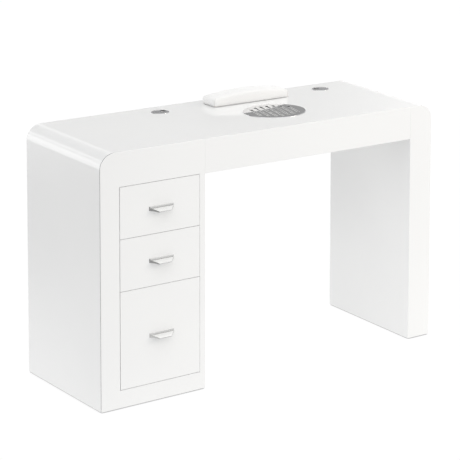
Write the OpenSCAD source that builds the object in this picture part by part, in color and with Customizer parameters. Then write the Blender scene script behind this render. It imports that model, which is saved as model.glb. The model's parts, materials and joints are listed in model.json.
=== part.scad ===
// Manicure table: lacquered desk with a drawer pedestal on the left, a thick right leg and
// a hollow top that holds a dust collector. Millimetres, +Z up, front towards -Y.
// Origin: on the floor, centred on the overall length and on the overall depth
// including the drawer pulls.

/* [Overall size] */
// Length along the front
table_l = 1180; // [1050:10:1400]
// Depth of the body from front to back
table_d = 480; // [460:10:600]
// Height of the table top above the floor
table_h = 800; // [760:5:850]
// Height of the hollow top, from its underside to the table top
top_box_h = 110; // [106:1:130]
// Radius of the rounded upper corners
corner_r = 48; // [40:1:61]

/* [Boards] */
// Thickness of the main boards
board_t = 18; // [16:1:19]
// Thickness of the underside panel and the pedestal's top board
thin_t = 12; // [9:1:12]

/* [Pedestal] */
// Width of the drawer pedestal
ped_w = 345; // [330:5:400]
// Width of the hollow post on the pedestal's left
post_w = 61; // [56:1:70]
// Height of the plinth under the lowest drawer
plinth_h = 58; // [50:1:70]
// Pitch of the two small drawers
small_drawer_h = 163; // [150:1:170]

/* [Right leg] */
// Thickness of the right leg
leg_w = 82; // [80:1:110]
// Height of the floor glides
glide_h = 3; // [2:1:6]

/* [Drawers] */
// Gap round each drawer front
front_gap = 1.2; // [1:0.1:4]
// How far the drawer fronts sit to the right of the middle of their opening
front_shift = 0.4; // [0:0.1:0.5]
// Space for a drawer slide on each side of a drawer box
slide_space = 13.5; // [13.5:0.5:16]
// Thickness of the drawer box boards
box_t = 12; // [10:1:15]
// Inside depth of the drawer boxes, also the length and travel of the slides
box_in_d = 300; // [250:10:350]
// Inside height of the small drawer boxes
box_in_h = 90; // [60:5:100]
// Inside height of the deep drawer box
deep_in_h = 230; // [150:5:235]

/* [Drawer pulls] */
// Width of a pull where it meets the drawer front
pull_w = 82; // [70:2:110]
// Width of a pull at its lip
pull_tip_w = 40; // [30:2:70]
// How far a pull stands out
pull_reach = 26; // [22:1:36]
// How far the lip drops below the top of the pull
pull_drop = 13; // [12:1:18]
// How far the pulls sit to the right of the middle of their drawer
pull_shift = 4; // [0:0.5:5]
// Height of the upright edge along the top of a pull
pull_edge_h = 4.5; // [2:0.5:5]
// Distance between the two screws of a pull
pull_pitch = 32; // [24:2:40]

/* [Dust collector] */
// Diameter of the dust grille
grille_d = 200; // [196:1:204]
// Distance of the grille's centre from the left end
grille_x = 707; // [640:1:780]
// Distance of the grille's centre from the front
grille_y = 200; // [190:1:215]
// Width of a grille slot
slot_w = 9; // [5:0.5:11]
// Pitch of the grille slots
slot_pitch = 21; // [18:0.5:22]
// Turn of the slots away from the table's depth direction
slot_turn = 10; // [-20:1:20]
// Number of fan blades
fan_blades = 7; // [5:1:9]

/* [Cable outlets] */
// Diameter of a cable outlet's rim
outlet_d = 58; // [58:1:64]
// Distance of each outlet from the grille's centre, along the length
outlet_dx = 297; // [240:1:310]
// Distance of the outlets from the front
outlet_y = 400; // [380:1:410]
// Direction of the left cap's slot
slot_dir_left = 35; // [0:5:355]
// Direction of the right cap's slot
slot_dir_right = 110; // [0:5:355]

/* [Hand rest] */
// Length of the hand rest
rest_l = 276; // [220:1:300]
// Depth of the hand rest
rest_d = 82; // [70:1:90]
// Distance of the hand rest's left end from the left end of the table
rest_x = 578; // [540:1:600]
// Distance of the hand rest's front edge from the front of the table
rest_y = 354; // [330:1:370]
// Height of the hand rest at its ends
rest_end_h = 27; // [22:1:34]
// Height of the hand rest at its middle
rest_mid_h = 42; // [34:1:55]

/* [Hidden] */
$fn = 64;
over = 0.5;     // overshoot of cutting tools
fit = 0.05;     // radial clearance of a screw, dowel or shaft in its hole

lacquer = "white";
wood = "burlywood";
steel = "silver";
dark = "dimgray";

// Carcass planes
y_rear = table_d - board_t;      // front face of the rear boards
z_top = table_h - board_t;       // underside of the top board
z_und = table_h - top_box_h;     // underside of the hollow top
z_roll = table_h - corner_r;     // where the side panels meet the corner rolls
z_open = z_und + 2;              // top of the drawer opening
x_in = ped_w - board_t;          // left face of the pedestal's right panel
x_leg = table_l - leg_w;         // left face of the leg

// Screws and their holes
screw_r = 1.75;                  // wood screw
screw_bite = 12;                 // depth a wood screw reaches into a board
pilot_depth = screw_bite + 0.5;
machine_r = 2;                   // screws of the pulls and the fan
clear_r = 2.2;                   // clearance hole in a bracket, drawer front or fan frame

// Angle brackets, fixed to the top board and an apron
bracket_x = [500, 600, 850, 950];
bracket_t = 2;
bracket_w = 30;
bracket_leg = 32;
bracket_hole = 20;               // from the corner to a screw

// Dowels, all along X: between the aprons and the ends, and in the pedestal base
dowel_r = 4;
dowel_l = 30;
dowel_end_gap = 0.5;
dowel_xyz = concat(
  [for (y = [board_t / 2, table_d - board_t / 2], z = [z_und + 28, table_h - 28],
    x = [ped_w, x_leg]) [x, y, z]],
  [for (y = [80, table_d - 80], x = [post_w, x_in]) [x, y, plinth_h - board_t / 2]]);

// Openings of the underside panel
outlet_xy = [for (side = [-1, 1]) [grille_x + side * outlet_dx, outlet_y]];
under_outlet_r = 27;
switch_xy = [table_l - 150, 70];
switch_body = [27.6, 21];
inlet_xy = [table_l - 250, table_d - 150];
inlet_body = [26, 20];
cutout_gap = 0.4;                // cutout size beyond the body of the switch or inlet

// ---------- helpers ----------
// All parts are drawn with the front left lower corner of the body at the origin
module place() translate([-table_l / 2, -(table_d - pull_reach) / 2, 0]) children();

module block(x0, x1, y0, y1, z0, z1)
  translate([x0, y0, z0]) cube([x1 - x0, y1 - y0, z1 - z0]);

// Block centred on the Z axis
module slab(size, z0, z1)
  block(-size[0] / 2, size[0] / 2, -size[1] / 2, size[1] / 2, z0, z1);

// A flat profile, drawn as seen from the front, from depth y0 to y1
module upright(y0, y1) translate([0, y1, 0]) rotate([90, 0, 0]) linear_extrude(y1 - y0) children();

// Turns a profile of the left end into one of the right end
module to_right_end() translate([table_l, 0]) mirror([1, 0]) children();

// Hole tools enter a surface at z = 0 and run along +Z
module blind_hole(r, depth) translate([0, 0, -over]) cylinder(r = r, h = depth + over);
module through_hole(r, depth) blind_hole(r, depth + over);
module pilot_hole() blind_hole(screw_r + fit, pilot_depth);

// Pan-head screw along +Z, with the underside of its head at z = 0
module screw(r, length, head_r, head_h) {
  cylinder(r = r, h = length);
  translate([0, 0, -head_h]) cylinder(r1 = head_r - 0.6, r2 = head_r, h = head_h);
}

// Wood screw in the board above z = 0, holding a plate below it
module wood_screw(plate_t, head_r = 3.5, head_h = 2)
  translate([0, 0, -plate_t]) screw(screw_r, screw_bite + plate_t, head_r, head_h);

module slot_outline(length, width) {
  square([width, length - width], center = true);
  for (s = [-1, 1]) translate([0, s * (length - width) / 2]) circle(width / 2, $fn = 32);
}

// Places for screws and holes; +Z points into the board
module at_dowels() for (p = dowel_xyz) translate(p) rotate([0, 90, 0]) children();

module at_outlets(z) for (p = outlet_xy) translate([p[0], p[1], z]) children();

module at_bracket_tops() for (x = bracket_x, y = [board_t + bracket_hole, y_rear - bracket_hole])
  translate([x, y, z_top]) children();

module at_front_apron_screws() for (x = bracket_x)
  translate([x, board_t, z_top - bracket_hole]) rotate([90, 0, 0]) children();

module at_rear_apron_screws() for (x = bracket_x)
  translate([x, y_rear, z_top - bracket_hole]) rotate([-90, 0, 0]) children();

module at_bowl_screws() translate([grille_x, grille_y, z_top])
  for (a = [45:90:315]) rotate(a) translate([grille_d / 2 + 5, 0, 0]) children();

module dowel_holes() at_dowels()
  cylinder(r = dowel_r + fit, h = dowel_l + 2 * dowel_end_gap, center = true);

// ---------- hollow top ----------
module top_panel() color(lacquer) difference() {
  block(corner_r, table_l - corner_r, board_t, y_rear, z_top, table_h);
  translate([grille_x, grille_y, z_top]) through_hole(grille_d / 2 - 7, board_t, $fn = 128);
  at_outlets(z_top) through_hole(outlet_d / 2 - 3, board_t);
  at_bowl_screws() pilot_hole();
  at_bracket_tops() pilot_hole();
}

// Keeps the upper left quarter of a shape of radius corner_r
module upper_left() intersection() {
  children();
  translate([-corner_r, 0]) square(corner_r);
}

module roll_profile() translate([corner_r, z_roll]) upper_left() difference() {
  circle(corner_r, $fn = 128);
  circle(corner_r - board_t, $fn = 128);
}
module corner_rolls() color(lacquer) {
  upright(board_t, y_rear) roll_profile();
  upright(board_t, y_rear) to_right_end() roll_profile();
}

module front_apron() color(lacquer) difference() {
  block(ped_w, x_leg, 0, board_t, z_und, table_h);
  dowel_holes();
  at_front_apron_screws() pilot_hole();
}
module rear_apron() color(lacquer) difference() {
  block(ped_w, x_leg, y_rear, table_d, z_und, table_h);
  dowel_holes();
  at_rear_apron_screws() pilot_hole();
}

module body_cutout(xy, body) translate([xy[0], xy[1], z_und])
  slab([body[0] + cutout_gap, body[1] + cutout_gap], -over, thin_t + over);

module underside_panel() color(lacquer) difference() {
  block(ped_w, x_leg, board_t, y_rear, z_und, z_und + thin_t);
  at_outlets(z_und) through_hole(under_outlet_r, thin_t);
  // exhaust slots under the fan
  for (i = [-4:4]) translate([grille_x + i * 13, grille_y, z_und - over])
    linear_extrude(thin_t + 2 * over) slot_outline(90, 6);
  body_cutout(switch_xy, switch_body);
  body_cutout(inlet_xy, inlet_body);
}

// ---------- pedestal ----------
// Front or rear board of the left end, with its upper left corner rounded
module end_profile(width) {
  translate([0, glide_h]) square([width, z_roll - glide_h]);
  translate([corner_r, z_roll]) {
    square([width - corner_r, corner_r]);
    upper_left() circle(corner_r, $fn = 128);
  }
}

module left_side_panel() color(lacquer) block(0, board_t, board_t, y_rear, glide_h, z_roll);

module pedestal_face_panel() color(lacquer) difference() {
  upright(0, board_t) difference() {
    end_profile(ped_w);
    translate([post_w, plinth_h]) square([x_in - post_w, z_open - plinth_h]);
  }
  dowel_holes();
}
module pedestal_back_panel() color(lacquer) difference() {
  upright(y_rear, table_d) end_profile(ped_w);
  dowel_holes();
}
module pedestal_inner_panel() color(lacquer) difference() {
  block(post_w - board_t, post_w, board_t, y_rear, glide_h, z_roll);
  dowel_holes();
  at_slide_screws() pilot_hole();
}
module pedestal_right_panel() color(lacquer) difference() {
  block(x_in, ped_w, board_t, y_rear, glide_h, z_top);
  dowel_holes();
  at_slide_screws() pilot_hole();
}
module pedestal_base() color(lacquer) difference() {
  block(post_w, x_in, board_t, y_rear, plinth_h - board_t, plinth_h);
  dowel_holes();
}
module pedestal_top_board() color(lacquer)
  block(post_w, x_in, board_t, y_rear, z_open + 4, z_open + 4 + thin_t);

// ---------- right leg ----------
module leg_board(y0) difference() {
  upright(y0, y0 + board_t) to_right_end() end_profile(leg_w);
  dowel_holes();
}
module leg_front_panel() color(lacquer) leg_board(0);
module leg_rear_panel() color(lacquer) leg_board(y_rear);
module leg_outer_panel() color(lacquer)
  block(table_l - board_t, table_l, board_t, y_rear, glide_h, z_roll);
module leg_inner_panel() color(lacquer)
  block(x_leg, x_leg + board_t, board_t, y_rear, glide_h, z_top);

// ---------- battens, glides and fixings ----------
// Battens that join the two skins of the hollow post and of the hollow leg
batten_h = 40;
batten_z = [glide_h, 360, z_roll - 60];
module battens() color(wood) for (z = batten_z) {
  block(board_t, post_w - board_t, board_t, y_rear, z, z + batten_h);
  block(x_leg + board_t, table_l - board_t, board_t, y_rear, z, z + batten_h);
}

glide_x = [30, ped_w - board_t / 2, x_leg + 20, table_l - 20];
module floor_glides() color(dark) for (x = glide_x, y = [30, table_d - 30])
  translate([x, y, 0]) cylinder(r = 8, h = glide_h);

module dowels() color(wood) at_dowels() cylinder(r = dowel_r, h = dowel_l, center = true);

// Bracket with its corner at the origin, legs towards +Y and -Z
module bracket() difference() {
  union() {
    block(-bracket_w / 2, bracket_w / 2, 0, bracket_leg, -bracket_t, 0);
    block(-bracket_w / 2, bracket_w / 2, 0, bracket_t, -bracket_leg, 0);
  }
  translate([0, bracket_hole, -bracket_t]) through_hole(clear_r, bracket_t);
  translate([0, bracket_t, -bracket_hole]) rotate([90, 0, 0]) through_hole(clear_r, bracket_t);
}
module angle_brackets() color(steel) for (x = bracket_x) {
  translate([x, board_t, z_top]) bracket();
  translate([x, y_rear, z_top]) mirror([0, 1, 0]) bracket();
}

module carcass_screws() color(steel) {
  at_bracket_tops() wood_screw(bracket_t);
  at_front_apron_screws() wood_screw(bracket_t);
  at_rear_apron_screws() wood_screw(bracket_t);
  at_bowl_screws() wood_screw(bowl_t);
  at_slide_screws() wood_screw(slide_t, head_r = 3.2, head_h = 1.6);
  // screws that hold the fan under the bowl
  at_fan_screws() screw(machine_r, fan_h + bowl_t, head_r = 3.6, head_h = 2.2);
}

// ---------- drawer positions ----------
// Drawer rows: 0 bottom, 1 middle, 2 top; row n lies between drawer_z[n] and drawer_z[n + 1]
drawer_z = [plinth_h, z_open - 2 * small_drawer_h, z_open - small_drawer_h, z_open];
bottom_z = 8;                    // drawer bottom above the lower edge of the box
bottom_t = 6;
bottom_inset = 5;                // how far the bottom enters each side
groove_gap = 0.1;                // above and below the bottom in its groove

function front_lo(row) = drawer_z[row] + (row == 0 ? front_gap : front_gap / 2);
function front_hi(row) = drawer_z[row + 1] - (row == 2 ? front_gap : front_gap / 2);
function box_lo(row) = front_lo(row) + 22;
function box_hi(row) = box_lo(row) + bottom_z + bottom_t + (row == 0 ? deep_in_h : box_in_h);
function slide_z(row) = (box_lo(row) + box_hi(row)) / 2;

box_left = post_w + slide_space;
box_right = x_in - slide_space;
box_back = board_t + box_in_d;   // front face of a drawer box's rear board
box_rear = box_back + box_t;

// ---------- drawer slides ----------
slide_t = 1.2;
slide_screw_y = [board_t + 40, box_back - 40];
slide_hole_r = 1.9;

module at_slide_screws() for (row = [0:2], y = slide_screw_y) {
  translate([post_w, y, slide_z(row)]) rotate([0, -90, 0]) children();
  translate([x_in, y, slide_z(row)]) rotate([0, 90, 0]) children();
}

// Channel section: web and two flanges; x runs from the cabinet side to the drawer
module channel(web_x, tip_x, half_h) {
  left = min(web_x, tip_x);
  right = max(web_x, tip_x);
  for (z = [-half_h, half_h - slide_t]) translate([left, z]) square([right - left, slide_t]);
  translate([web_x < tip_x ? web_x : web_x - slide_t, -half_h]) square([slide_t, 2 * half_h]);
}
// The same section on both sides of the drawer opening
module slide_pair(row, y0, y1) {
  upright(y0, y1) translate([post_w, slide_z(row)]) children();
  upright(y0, y1) translate([x_in, slide_z(row)]) mirror([1, 0]) children();
}
module slide_cabinet_members() color(steel) difference() {
  for (row = [0:2]) slide_pair(row, board_t + 2, box_back) channel(0, 10.3, 22);
  at_slide_screws() translate([0, 0, -slide_t]) through_hole(slide_hole_r, slide_t);
}
module slide_middle(row) color(steel)
  slide_pair(row, board_t + 4, box_back - 2) channel(4.4, 10.9, 17);
module slide_inner(row) color(steel)
  slide_pair(row, board_t + 2, box_back) channel(slide_space, 7.2, 12.5);

// ---------- drawers ----------
module drawer_front(row) color(lacquer) difference() {
  block(post_w + front_gap + front_shift, x_in - front_gap + front_shift, 0, board_t,
    front_lo(row), front_hi(row));
  at_pull_screws(row, board_t) through_hole(clear_r, board_t);
}

// Left side of a drawer box, grooved for the bottom
module drawer_side(row) {
  inner = box_left + box_t;
  groove_z = box_lo(row) + bottom_z;
  difference() {
    block(box_left, inner, board_t, box_rear, box_lo(row), box_hi(row));
    block(inner - bottom_inset - 0.2, inner + over, board_t - over, box_rear + over,
      groove_z - groove_gap, groove_z + bottom_t + groove_gap);
  }
}
module drawer_box(row) color(wood) {
  drawer_side(row);
  translate([box_left + box_right, 0, 0]) mirror([1, 0, 0]) drawer_side(row);
  block(box_left + box_t + fit, box_right - box_t - fit, box_back, box_rear,
    box_lo(row) + bottom_z + bottom_t + groove_gap, box_hi(row));
}
module drawer_bottom(row) color(wood)
  block(box_left + box_t - bottom_inset, box_right - box_t + bottom_inset, board_t, box_rear,
    box_lo(row) + bottom_z, box_lo(row) + bottom_z + bottom_t);

// ---------- drawer pulls ----------
// Tab with an upright edge along its top, which curves out and down to a lip
pull_x = (post_w + x_in) / 2 + pull_shift;
pull_edge_t = 3;
pull_root_h = 8.6;               // height of the tab where it leaves the edge
pull_lip_h = 3;                  // height of the tab at its lip
pull_lip_back = 1.2;             // how far the lip's lower edge is set back
pull_steps = 14;
pull_screw_drop = pull_edge_h + 5.1;

function pull_z(row) = (front_lo(row) + front_hi(row)) / 2 + 6;   // top of the pull
// Upper and lower curve as [y, z], for t from 0 at the edge to 1 at the lip
function pull_upper(t) = [-pull_edge_t - (pull_reach - pull_edge_t) * t,
  -pull_edge_h - (pull_drop - pull_edge_h) * pow(t, 1.35)];
function pull_lower(t) =
  pull_upper(t) + [pull_lip_back * t, -pull_root_h + (pull_root_h - pull_lip_h) * t];

module at_pull_screws(row, y) for (s = [-1, 1])
  translate([pull_x + s * pull_pitch / 2, y, pull_z(row) - pull_screw_drop])
    rotate([90, 0, 0]) children();

module pull_section() polygon(concat(
  [[0, 0], [-pull_edge_t, 0]],
  [for (k = [0:pull_steps]) pull_upper(k / pull_steps)],
  [for (k = [pull_steps:-1:0]) pull_lower(k / pull_steps)],
  [[0, -pull_edge_h - pull_root_h]]));

module pull_plan() polygon([[-pull_w / 2, 0], [pull_w / 2, 0],
  [pull_tip_w / 2, -pull_reach], [-pull_tip_w / 2, -pull_reach]]);

module pull(row) color(steel) difference() {
  margin = 20;    // of the plan's height above and below the pull
  translate([pull_x, 0, pull_z(row)]) intersection() {
    translate([-pull_w / 2, 0, 0]) rotate([90, 0, 90]) linear_extrude(pull_w) pull_section();
    translate([0, 0, -pull_drop - margin]) linear_extrude(pull_drop + 2 * margin) pull_plan();
  }
  at_pull_screws(row, 0) blind_hole(machine_r + fit, 8);
}
module drawer_screws(row) color(steel)
  at_pull_screws(row, board_t) screw(machine_r, board_t + 7, head_r = 4, head_h = 2.2);

// ---------- cable outlets ----------
outlet_r = outlet_d / 2;
cap_seat_r = outlet_r - 5;
cap_seat_depth = 3;
cap_slot_x = 13;                 // from the cap's centre to the slot's round end
cap_slot_r = 9;

module sleeve() difference() {
  union() {
    translate([0, 0, table_h]) cylinder(r = outlet_r, h = 1);
    translate([0, 0, table_h + 1]) cylinder(r1 = outlet_r, r2 = outlet_r - 0.6, h = 0.6);
    translate([0, 0, z_top + 2]) cylinder(r = outlet_r - 3.2, h = board_t - 2);
  }
  translate([0, 0, table_h - cap_seat_depth]) cylinder(r = cap_seat_r, h = 5);
  translate([0, 0, z_top]) cylinder(r = outlet_r - 7.5, h = board_t);
}
module outlet_sleeves() color(steel) at_outlets(0) sleeve();

module outlet_cap(side, dir) color(steel)
  translate([outlet_xy[side][0], outlet_xy[side][1], table_h - cap_seat_depth]) rotate(dir)
    linear_extrude(4.2) difference() {
      circle(cap_seat_r - fit);
      translate([cap_slot_x, 0]) circle(cap_slot_r, $fn = 48);
      translate([cap_slot_x, -cap_slot_r]) square([outlet_r, 2 * cap_slot_r]);
    }

// ---------- dust collector ----------
grille_r = grille_d / 2;
grille_rim_h = 1.2;
grille_bevel = 1;
grille_neck_h = 12;              // depth of the neck below the table top
grille_floor_t = 1.6;            // ledge under the filter
slot_field_r = grille_r - 20;    // circle that the slots end on
bowl_t = 3;
bowl_h = 34;
bowl_z = z_top - bowl_h;

module dust_grille() color(steel) translate([grille_x, grille_y, table_h]) difference() {
  union() {
    cylinder(r = grille_r, h = grille_rim_h, $fn = 128);
    translate([0, 0, grille_rim_h])
      cylinder(r1 = grille_r, r2 = grille_r - grille_bevel, h = grille_bevel, $fn = 128);
    translate([0, 0, -grille_neck_h]) cylinder(r = grille_r - 8, h = grille_neck_h, $fn = 128);
  }
  translate([0, 0, grille_floor_t - grille_neck_h])
    cylinder(r = grille_r - 12, h = grille_neck_h - grille_floor_t, $fn = 128);
  translate([0, 0, -grille_neck_h]) through_hole(grille_r - 16, grille_floor_t, $fn = 128);
  translate([0, 0, -over]) rotate(-slot_turn)
    linear_extrude(grille_rim_h + grille_bevel + 2 * over)
      for (x = slot_pitch * [-3, -2, -1, 0, 1, 2, 3]) translate([x, 0])
        slot_outline(2 * sqrt(slot_field_r * slot_field_r - x * x), slot_w);
}
module dust_filter() color(dark)
  translate([grille_x, grille_y, table_h - 10]) cylinder(r = grille_r - 12.5, h = 8);

module collector_bowl() color(dark) difference() {
  translate([grille_x, grille_y, 0]) difference() {
    union() {
      translate([0, 0, z_top - bowl_t]) cylinder(r = grille_r + 12, h = bowl_t, $fn = 128);
      translate([0, 0, bowl_z]) cylinder(r = grille_r - 3, h = bowl_h, $fn = 128);
    }
    translate([0, 0, bowl_z + bowl_t])
      cylinder(r = grille_r - 3 - bowl_t, h = bowl_h, $fn = 128);
    translate([0, 0, bowl_z]) through_hole(58, bowl_t);
  }
  at_fan_screws() translate([0, 0, fan_h]) through_hole(machine_r + fit, bowl_t);
  at_bowl_screws() translate([0, 0, -bowl_t]) through_hole(2.1, bowl_t);
}

// ---------- fan, drawn with the underside of its frame at z = 0 ----------
fan_w = 119;
fan_h = 25;
fan_screw_pitch = 105;
fan_hub_h = 3.5;                 // height of the frame's hub plate and arms
shaft_r = 1.5;
rotor_r = 20;
blade_z = 5.5;                   // lower edge of the blades
blade_h = 18;
blade_t = 1.8;

module at_fan() translate([grille_x, grille_y, bowl_z - fan_h]) children();
module at_fan_screws() at_fan() for (sx = [-1, 1], sy = [-1, 1])
  translate([sx * fan_screw_pitch / 2, sy * fan_screw_pitch / 2, 0]) children();

module fan_frame() color(dark) {
  difference() {
    at_fan() slab([fan_w, fan_w], 0, fan_h);
    at_fan() through_hole(57.5, fan_h, $fn = 96);
    at_fan_screws() through_hole(clear_r, fan_h);
  }
  // hub plate on four arms
  at_fan() cylinder(r = 19, h = fan_hub_h);
  at_fan() for (a = [45:90:315]) rotate(a) block(15, 61, -2.5, 2.5, 0, fan_hub_h);
}
module fan_stator() color("peru") at_fan() translate([0, 0, fan_hub_h]) difference() {
  union() {
    cylinder(r = 4, h = 16);
    translate([0, 0, 3]) cylinder(r = 14.5, h = 9);
  }
  through_hole(shaft_r + fit, 16);
}
// Flat blade on the +X side, pitched 40 degrees and trimmed to the rotor's ring
module fan_blade() intersection() {
  difference() {
    translate([0, 0, blade_z]) cylinder(r = 55.5, h = blade_h);
    cylinder(r = rotor_r - 1, h = 40);
  }
  translate([0, 0, blade_z + blade_h / 2]) rotate([40, 0, 0])
    block(15, 65, -blade_t / 2, blade_t / 2, -20, 20);
}
module fan_rotor() color(dark) at_fan() {
  // cup, open below
  translate([0, 0, 5]) difference() {
    cylinder(r = rotor_r, h = 19);
    blind_hole(17.5, 16.5);
  }
  translate([0, 0, 4]) cylinder(r = shaft_r, h = 18);
  for (k = [0:fan_blades - 1]) rotate(k * 360 / fan_blades) fan_blade();
}

// ---------- switch, inlet and wiring ----------
flange_t = 2;
pivot_z = 4;                     // rocker pivot above the underside
pivot_r = 1.2;
tab_x = 6;                       // switch tabs, either side of the middle
tab_top = 26;
inlet_h = 17;

// Flanged housing with a well that opens downwards; z = 0 is the table's underside
module housing(flange, body, body_h, well, well_h) difference() {
  union() {
    slab(flange, -flange_t, 0);
    slab(body, -1, body_h);
  }
  slab(well, -flange_t - over, well_h);
}
module switch_housing() color("black") translate([switch_xy[0], switch_xy[1], z_und]) {
  difference() {
    housing([31, 25], switch_body, 18, [23.6, 13.6], 14);
    translate([0, 0, pivot_z]) rotate([90, 0, 0])
      cylinder(r = pivot_r + fit, h = 18, center = true);
  }
  for (x = [-tab_x, tab_x]) translate([x, 0, 0]) slab([4.8, 0.8], 17, tab_top);
}
module switch_rocker() color("black")
  translate([switch_xy[0], switch_xy[1], z_und + pivot_z]) rotate([0, 9, 0]) {
    upright(-6.5, 6.5)
      polygon([[-10.4, 4], [10.4, 4], [10.4, -7.2], [0, -5.5], [-10.4, -7.2]]);
    rotate([90, 0, 0]) cylinder(r = pivot_r, h = 17.6, center = true);
  }
module power_inlet() color("black") translate([inlet_xy[0], inlet_xy[1], z_und]) {
  housing([30, 24], inlet_body, inlet_h, [21, 11], 13);
  for (x = [-4.3, 4.3]) translate([x, 0, 1]) cylinder(r = 1.2, h = 13);
}

// Round cable through a list of points
module cable(points, r) for (k = [0:len(points) - 2]) {
  step = points[k + 1] - points[k];
  translate(points[k])
    rotate([0, atan2(norm([step[0], step[1]]), step[2]), atan2(step[1], step[0])])
      cylinder(r = r, h = norm(step), $fn = 24);
  if (k > 0) translate(points[k]) sphere(r = r, $fn = 24);
}
module wiring() color("black") {
  cable_r = 2.2;
  gap = 0.1;                     // between a cable's end and the part it serves
  run_z = z_und + 36;
  tab_z = z_und + tab_top + gap;
  right_tab = switch_xy[0] + tab_x;
  left_tab = switch_xy[0] - tab_x;
  run_x = grille_x + 150;
  run_y = switch_xy[1] - 30;
  // inlet to switch
  cable([
    [inlet_xy[0], inlet_xy[1], z_und + inlet_h + gap],
    [inlet_xy[0], inlet_xy[1], run_z],
    [right_tab, inlet_xy[1], run_z],
    [right_tab, switch_xy[1], run_z],
    [right_tab, switch_xy[1], tab_z]], cable_r);
  // switch to fan
  cable([
    [left_tab, switch_xy[1], tab_z],
    [left_tab, switch_xy[1], run_z],
    [left_tab, run_y, run_z],
    [run_x, run_y, run_z],
    [run_x, grille_y, run_z],
    [grille_x + fan_w / 2 + gap, grille_y, run_z]], cable_r);
}

// ---------- hand rest ----------
rest_foot_h = 3;
rest_board_top = table_h + 13;
rest_inset = 3;                  // of the board from the pad's edges
rest_steps = 24;

module hand_rest_board() color(wood)
  block(rest_x + rest_inset, rest_x + rest_l - rest_inset,
    rest_y + rest_inset, rest_y + rest_d - rest_inset, table_h + rest_foot_h, rest_board_top);
module hand_rest_feet() color(dark)
  for (x = [rest_x + 22, rest_x + rest_l - 22], y = [rest_y + 18, rest_y + rest_d - 18])
    translate([x, y, table_h]) cylinder(r = 7, h = rest_foot_h);
// Flat below, with a parabolic crown along its length
module hand_rest_pad() color("whitesmoke") upright(rest_y, rest_y + rest_d) polygon(concat(
  [[rest_x, rest_board_top], [rest_x + rest_l, rest_board_top]],
  [for (k = [rest_steps:-1:0]) let (u = 2 * k / rest_steps - 1)
    [rest_x + rest_l * k / rest_steps,
     table_h + rest_end_h + (rest_mid_h - rest_end_h) * (1 - u * u)]]));

place() top_panel();
place() corner_rolls();
place() left_side_panel();
place() pedestal_face_panel();
place() pedestal_inner_panel();
place() pedestal_right_panel();
place() pedestal_base();
place() pedestal_top_board();
place() pedestal_back_panel();
place() battens();
place() front_apron();
place() rear_apron();
place() underside_panel();
place() leg_front_panel();
place() leg_rear_panel();
place() leg_outer_panel();
place() leg_inner_panel();
place() floor_glides();
place() dowels();
place() angle_brackets();
place() carcass_screws();
place() slide_cabinet_members();
place() outlet_sleeves();
place() outlet_cap(0, slot_dir_left);  // outlet_cap_left
place() outlet_cap(1, slot_dir_right);  // outlet_cap_right
place() dust_grille();
place() dust_filter();
place() collector_bowl();
place() fan_frame();
place() fan_stator();
place() fan_rotor();
place() switch_housing();
place() switch_rocker();
place() power_inlet();
place() wiring();
place() hand_rest_board();
place() hand_rest_feet();
place() hand_rest_pad();
place() drawer_front(2);  // top_drawer_front
place() drawer_box(2);  // top_drawer_box
place() drawer_bottom(2);  // top_drawer_bottom
place() pull(2);  // top_drawer_pull
place() drawer_screws(2);  // top_drawer_screws
place() slide_inner(2);  // top_drawer_slide_inner
place() slide_middle(2);  // top_drawer_slide_middle
place() drawer_front(1);  // middle_drawer_front
place() drawer_box(1);  // middle_drawer_box
place() drawer_bottom(1);  // middle_drawer_bottom
place() pull(1);  // middle_drawer_pull
place() drawer_screws(1);  // middle_drawer_screws
place() slide_inner(1);  // middle_drawer_slide_inner
place() slide_middle(1);  // middle_drawer_slide_middle
place() drawer_front(0);  // bottom_drawer_front
place() drawer_box(0);  // bottom_drawer_box
place() drawer_bottom(0);  // bottom_drawer_bottom
place() pull(0);  // bottom_drawer_pull
place() drawer_screws(0);  // bottom_drawer_screws
place() slide_inner(0);  // bottom_drawer_slide_inner
place() slide_middle(0);  // bottom_drawer_slide_middle
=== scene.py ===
import json
import math

import bmesh
import bpy
from mathutils import Matrix, Vector, noise
from mathutils.bvhtree import BVHTree

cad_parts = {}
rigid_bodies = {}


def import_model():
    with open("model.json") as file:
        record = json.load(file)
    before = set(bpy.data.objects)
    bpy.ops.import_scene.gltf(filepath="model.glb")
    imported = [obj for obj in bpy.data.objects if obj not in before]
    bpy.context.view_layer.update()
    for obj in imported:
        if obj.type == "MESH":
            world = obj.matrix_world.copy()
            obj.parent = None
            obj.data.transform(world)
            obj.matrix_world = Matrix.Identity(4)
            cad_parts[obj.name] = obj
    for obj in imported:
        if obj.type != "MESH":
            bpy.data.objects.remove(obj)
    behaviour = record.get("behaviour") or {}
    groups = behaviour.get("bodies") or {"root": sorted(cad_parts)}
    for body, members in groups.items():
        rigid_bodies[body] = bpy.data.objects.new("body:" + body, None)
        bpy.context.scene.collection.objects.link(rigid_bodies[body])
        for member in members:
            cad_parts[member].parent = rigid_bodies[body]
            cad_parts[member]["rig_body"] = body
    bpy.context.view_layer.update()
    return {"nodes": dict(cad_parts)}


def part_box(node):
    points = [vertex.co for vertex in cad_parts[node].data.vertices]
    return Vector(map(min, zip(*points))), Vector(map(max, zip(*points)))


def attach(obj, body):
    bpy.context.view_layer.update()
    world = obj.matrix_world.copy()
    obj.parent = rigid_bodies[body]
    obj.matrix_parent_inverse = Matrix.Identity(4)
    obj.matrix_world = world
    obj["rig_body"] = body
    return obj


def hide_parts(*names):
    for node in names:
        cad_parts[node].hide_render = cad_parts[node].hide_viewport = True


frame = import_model()
nodes = frame["nodes"]
scene = bpy.context.scene


# ---------------------------------------------------------------- node helpers
def put(t, sock, value):
    if isinstance(value, bpy.types.NodeSocket):
        t.links.new(value, sock)
    else:
        sock.default_value = value


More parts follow.
